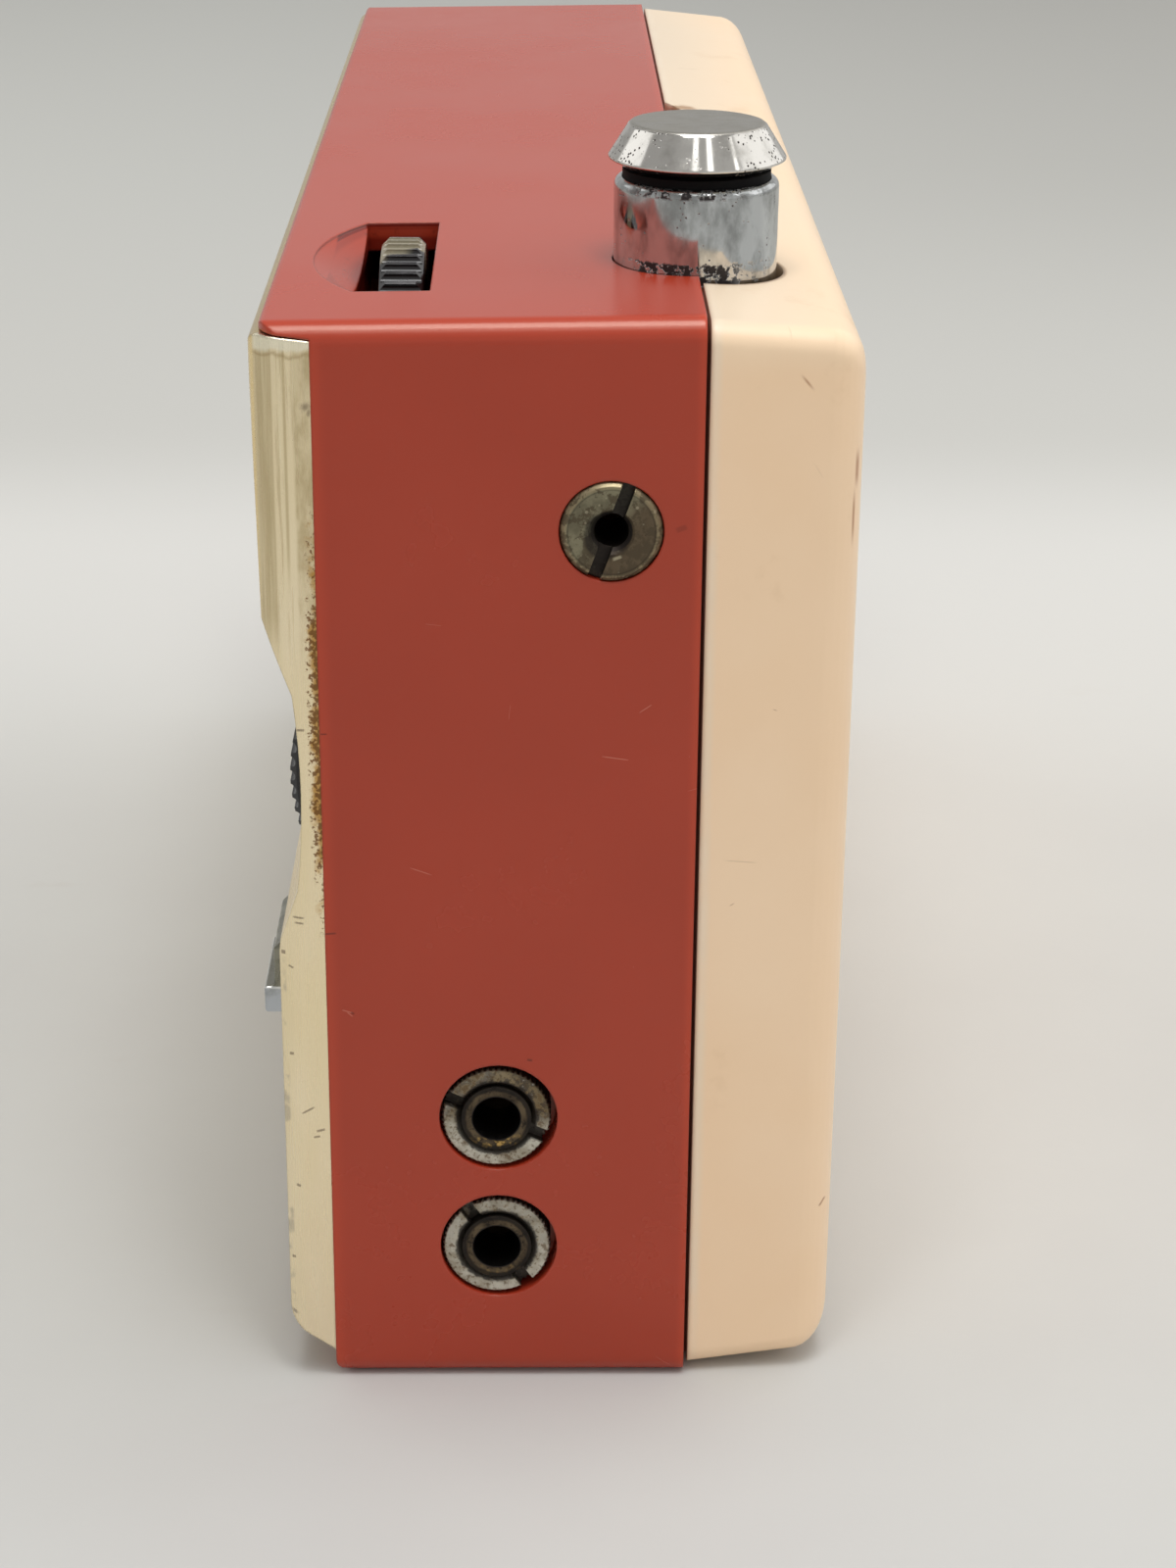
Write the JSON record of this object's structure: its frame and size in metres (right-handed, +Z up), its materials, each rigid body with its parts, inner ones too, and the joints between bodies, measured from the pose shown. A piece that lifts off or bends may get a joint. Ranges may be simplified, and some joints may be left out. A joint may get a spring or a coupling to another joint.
{
  "type": "transistor radio",
  "caption": "Portable radio in a coral and cream moulded case with a formed gold front, thumbwheels, a band slide, jack sockets and a telescopic aerial.",
  "frame": {"origin": "centre of the flat bottom of the cabinet", "axes": "+X to the end with the sockets, -Y out of the gold front, +Z up"},
  "size_m": [0.1462, 0.0437, 0.0939],
  "materials": {
    "coral_plastic": "glossy coral moulding with fine scratches",
    "cream_plastic": "aged cream moulding",
    "gold_panel": "pale gold plating with brown specks along its edge",
    "clear_window": "clear moulding",
    "black_plastic": "ridged dark plastic",
    "dial_plastic": "printed drum",
    "chrome": "worn chrome",
    "nickel": "dull nickel",
    "brass": "tarnished brass",
    "steel": "plain steel",
    "brown_insulator": "brown laminate",
    "speaker_paper": "black paper",
    "felt": "dark felt",
    "ferrite": "black ferrite",
    "magnet": "grey magnet",
    "board": "brown board",
    "copper_winding": "enamelled copper",
    "can": "screening can",
    "cell_jacket": "plain steel jacket",
    "blue_sleeve": "plastic sleeve",
    "cream_fitting": "pale moulding"
  },
  "bodies": {
    "case": {"cabinet": "coral_plastic", "front_panel": "gold_panel", "panel_nuts": "nickel", "dial_window": "clear_window", "tuning_capacitor": "cream_fitting", "tuning_bracket": "steel", "bracket_screws": "steel", "volume_control": "steel", "band_switch": "brown_insulator", "aerial_collar": "chrome", "aerial_ring": "black_plastic", "aerial_bracket": "steel", "aerial_foot": "brown_insulator", "aerial_base_tube": "chrome", "aerial_socket": "nickel", "aerial_socket_nut": "nickel", "upper_jack": "brass", "upper_jack_nut": "nickel", "lower_jack": "brass", "lower_jack_nut": "nickel", "jack_blocks": "brown_insulator", "jack_contacts": "brass", "speaker_gasket": "felt", "speaker_frame": "steel", "speaker_cone": "speaker_paper", "speaker_dust_cap": "speaker_paper", "voice_coil": "copper_winding", "speaker_magnet": "magnet", "speaker_pole": "steel", "speaker_screws": "steel", "circuit_board": "board", "board_screws": "steel", "ferrite_rod": "ferrite", "aerial_coils": "copper_winding", "rod_holders": "cream_fitting", "if_transformers": "can", "audio_transformers": "magnet", "transistors": "can", "electrolytics": "blue_sleeve", "resistors": "brown_insulator", "battery_tray": "black_plastic", "battery_cells": "cell_jacket", "battery_contacts": "brass"},
    "cover": {"back_cover": "cream_plastic"},
    "tuning": {"tuning_wheel": "black_plastic", "dial_drum": "dial_plastic", "tuning_shaft": "brass", "tuning_wheel_screw": "steel"},
    "volume": {"volume_wheel": "black_plastic", "volume_shaft": "brass", "volume_wheel_screw": "steel"},
    "band": {"band_knob": "chrome", "band_slider": "black_plastic"},
    "aerial_2": {"aerial_tube_2": "chrome"},
    "aerial_3": {"aerial_tube_3": "chrome"},
    "aerial_4": {"aerial_tube_4": "chrome"},
    "aerial_5": {"aerial_tube_5": "chrome"},
    "aerial_tip": {"aerial_rod": "chrome", "aerial_cap": "chrome"}
  },
  "joints": [
    {"name": "cover_lift_off", "type": "slide", "parent": "case", "child": "cover", "axis": [0, 1, 0], "range_m": [0, 0.06]},
    {"name": "tuning_turn", "type": "hinge", "parent": "case", "child": "tuning", "pos_m": [0.067, -0.0021, 0.0486], "axis": [1, 0, 0], "range_deg": [0, 180]},
    {"name": "volume_turn", "type": "hinge", "parent": "case", "child": "volume", "pos_m": [0.0523, -0.008, 0.0733], "axis": [0, 1, 0], "range_deg": [0, 270]},
    {"name": "band_slide", "type": "slide", "parent": "case", "child": "band", "axis": [-1, 0, 0], "range_m": [0, 0.006]},
    {"name": "aerial_2_slide", "type": "slide", "parent": "case", "child": "aerial_2", "axis": [0, 0, 1], "range_m": [0, 0.055]},
    {"name": "aerial_3_slide", "type": "slide", "parent": "aerial_2", "child": "aerial_3", "axis": [0, 0, 1], "range_m": [0, 0.055]},
    {"name": "aerial_4_slide", "type": "slide", "parent": "aerial_3", "child": "aerial_4", "axis": [0, 0, 1], "range_m": [0, 0.055]},
    {"name": "aerial_5_slide", "type": "slide", "parent": "aerial_4", "child": "aerial_5", "axis": [0, 0, 1], "range_m": [0, 0.055]},
    {"name": "aerial_tip_slide", "type": "slide", "parent": "aerial_5", "child": "aerial_tip", "axis": [0, 0, 1], "range_m": [0, 0.055]}
  ]
}
